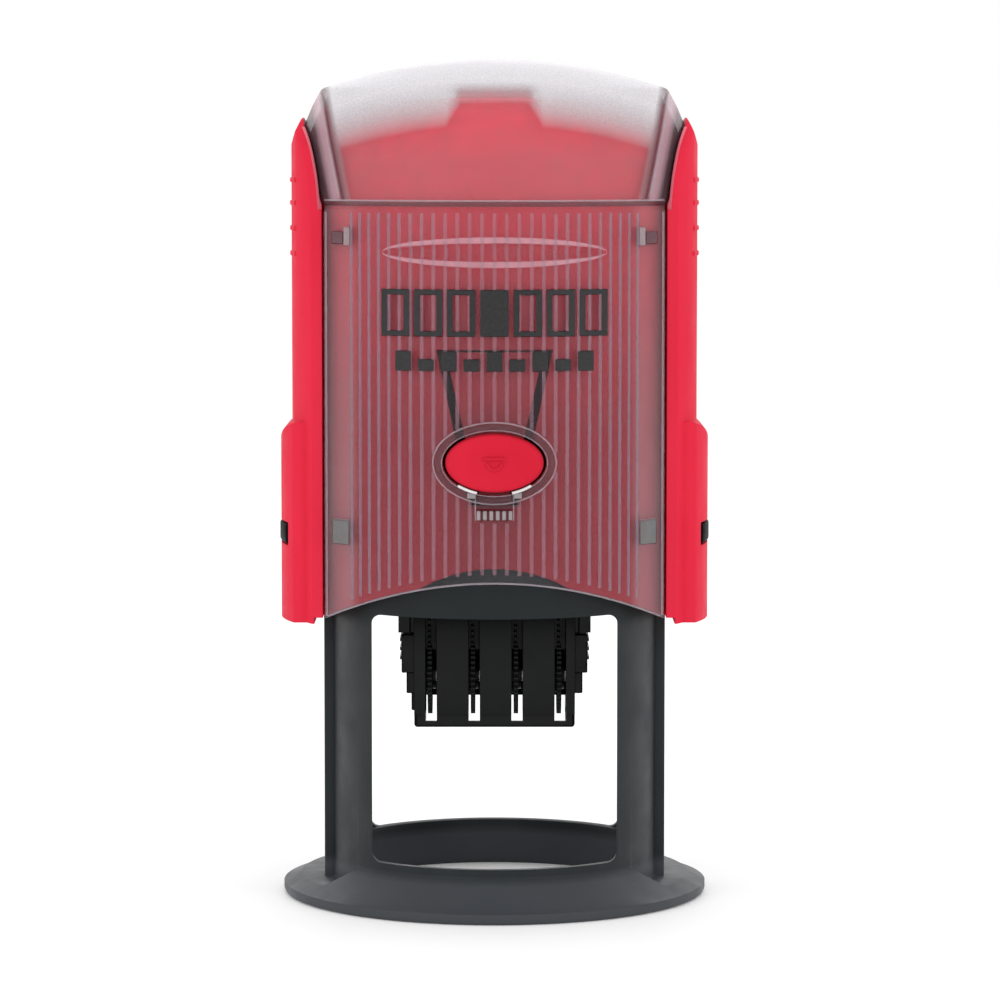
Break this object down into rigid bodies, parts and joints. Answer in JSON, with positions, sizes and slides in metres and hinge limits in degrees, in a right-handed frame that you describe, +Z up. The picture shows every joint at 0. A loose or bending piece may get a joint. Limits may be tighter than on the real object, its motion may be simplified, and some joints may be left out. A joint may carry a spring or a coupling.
{
  "type": "rotary date stamp",
  "caption": "Self-inking round date stamp: sprung cap with clear hood over a black ring-footed frame, carrying a turning text plate and a date unit with setting wheels.",
  "frame": {"origin": "centre of the foot ring's bottom face, on the surface that the stamp stands on", "axes": "+Z up along the cap's travel, +X to the right across the front, -Y towards the front with the oval button"},
  "size_m": [0.0566, 0.056, 0.11],
  "materials": {
    "frame_plastic": "fine satin texture, dark grey-black",
    "black_plastic": "satin black moulding",
    "red_plastic": "bright red, soft gloss",
    "clear_plastic": "clear smoky hood, frosted on top, fine vertical ribs on the panels",
    "stamp_rubber": "engraved stamp rubber",
    "band_rubber": "black rubber belt with raised type",
    "ink_felt": "felt soaked in black ink",
    "cushion_foam": "closed-cell cushion foam",
    "spring_steel": "drawn spring wire",
    "axle_steel": "plain turned steel"
  },
  "bodies": {
    "base": {"frame": "frame_plastic", "main_spring": "spring_steel"},
    "ink_pad": {"ink_pad_cassette": "black_plastic", "ink_pad_felt": "ink_felt"},
    "cap": {"cap_shell": "red_plastic", "clear_hood": "clear_plastic"},
    "release": {"release_button": "red_plastic"},
    "lock_left": {"lock_button_left": "black_plastic"},
    "lock_right": {"lock_button_right": "black_plastic"},
    "carrier": {"date_carrier": "black_plastic", "text_plate": "stamp_rubber", "die_cushion": "cushion_foam", "date_guard": "black_plastic", "printing_bridge": "black_plastic", "wheel_axle": "axle_steel", "date_band_1": "band_rubber", "date_band_2": "band_rubber", "date_band_3": "band_rubber", "date_band_4": "band_rubber"},
    "wheel_1": {"date_wheel_1": "black_plastic"},
    "wheel_2": {"date_wheel_2": "black_plastic"},
    "wheel_3": {"date_wheel_3": "black_plastic"},
    "wheel_4": {"date_wheel_4": "black_plastic"}
  },
  "joints": [
    {"name": "cap_press", "type": "slide", "parent": "base", "child": "cap", "axis": [0, 0, 1], "range_m": [-0.034, 0], "stiffness_N_per_m": 450, "springref_m": 0.012, "deforming": ["main_spring"]},
    {"name": "carrier_flip", "type": "hinge", "parent": "cap", "child": "carrier", "pos_m": [0, 0, 0.0405], "axis": [1, 0, 0], "range_deg": [0, 180], "deforming": ["ink_pad_felt"]},
    {"name": "ink_pad_slide", "type": "slide", "parent": "base", "child": "ink_pad", "axis": [0, 1, 0], "range_m": [0, 0.041]},
    {"name": "release_press", "type": "hinge", "parent": "cap", "child": "release", "pos_m": [0, -0.0228, 0.0726], "axis": [1, 0, 0], "range_deg": [0, 4], "stiffness_Nm_per_rad": 0.6},
    {"name": "lock_left_press", "type": "slide", "parent": "cap", "child": "lock_left", "axis": [1, 0, 0], "range_m": [0, 0.0015], "stiffness_N_per_m": 1200},
    {"name": "lock_right_press", "type": "slide", "parent": "cap", "child": "lock_right", "axis": [-1, 0, 0], "range_m": [0, 0.0015], "stiffness_N_per_m": 1200},
    {"name": "wheel_1_turn", "type": "hinge", "parent": "carrier", "child": "wheel_1", "pos_m": [0, -0.0006, 0.0289], "axis": [1, 0, 0], "continuous": true},
    {"name": "wheel_2_turn", "type": "hinge", "parent": "carrier", "child": "wheel_2", "pos_m": [0, -0.0006, 0.0289], "axis": [1, 0, 0], "continuous": true},
    {"name": "wheel_3_turn", "type": "hinge", "parent": "carrier", "child": "wheel_3", "pos_m": [0, -0.0006, 0.0289], "axis": [1, 0, 0], "continuous": true},
    {"name": "wheel_4_turn", "type": "hinge", "parent": "carrier", "child": "wheel_4", "pos_m": [0, -0.0006, 0.0289], "axis": [1, 0, 0], "continuous": true}
  ],
  "couplings": [
    {"joint": "carrier_flip", "follows": "cap_press", "rad_per_m": -92.395}
  ]
}
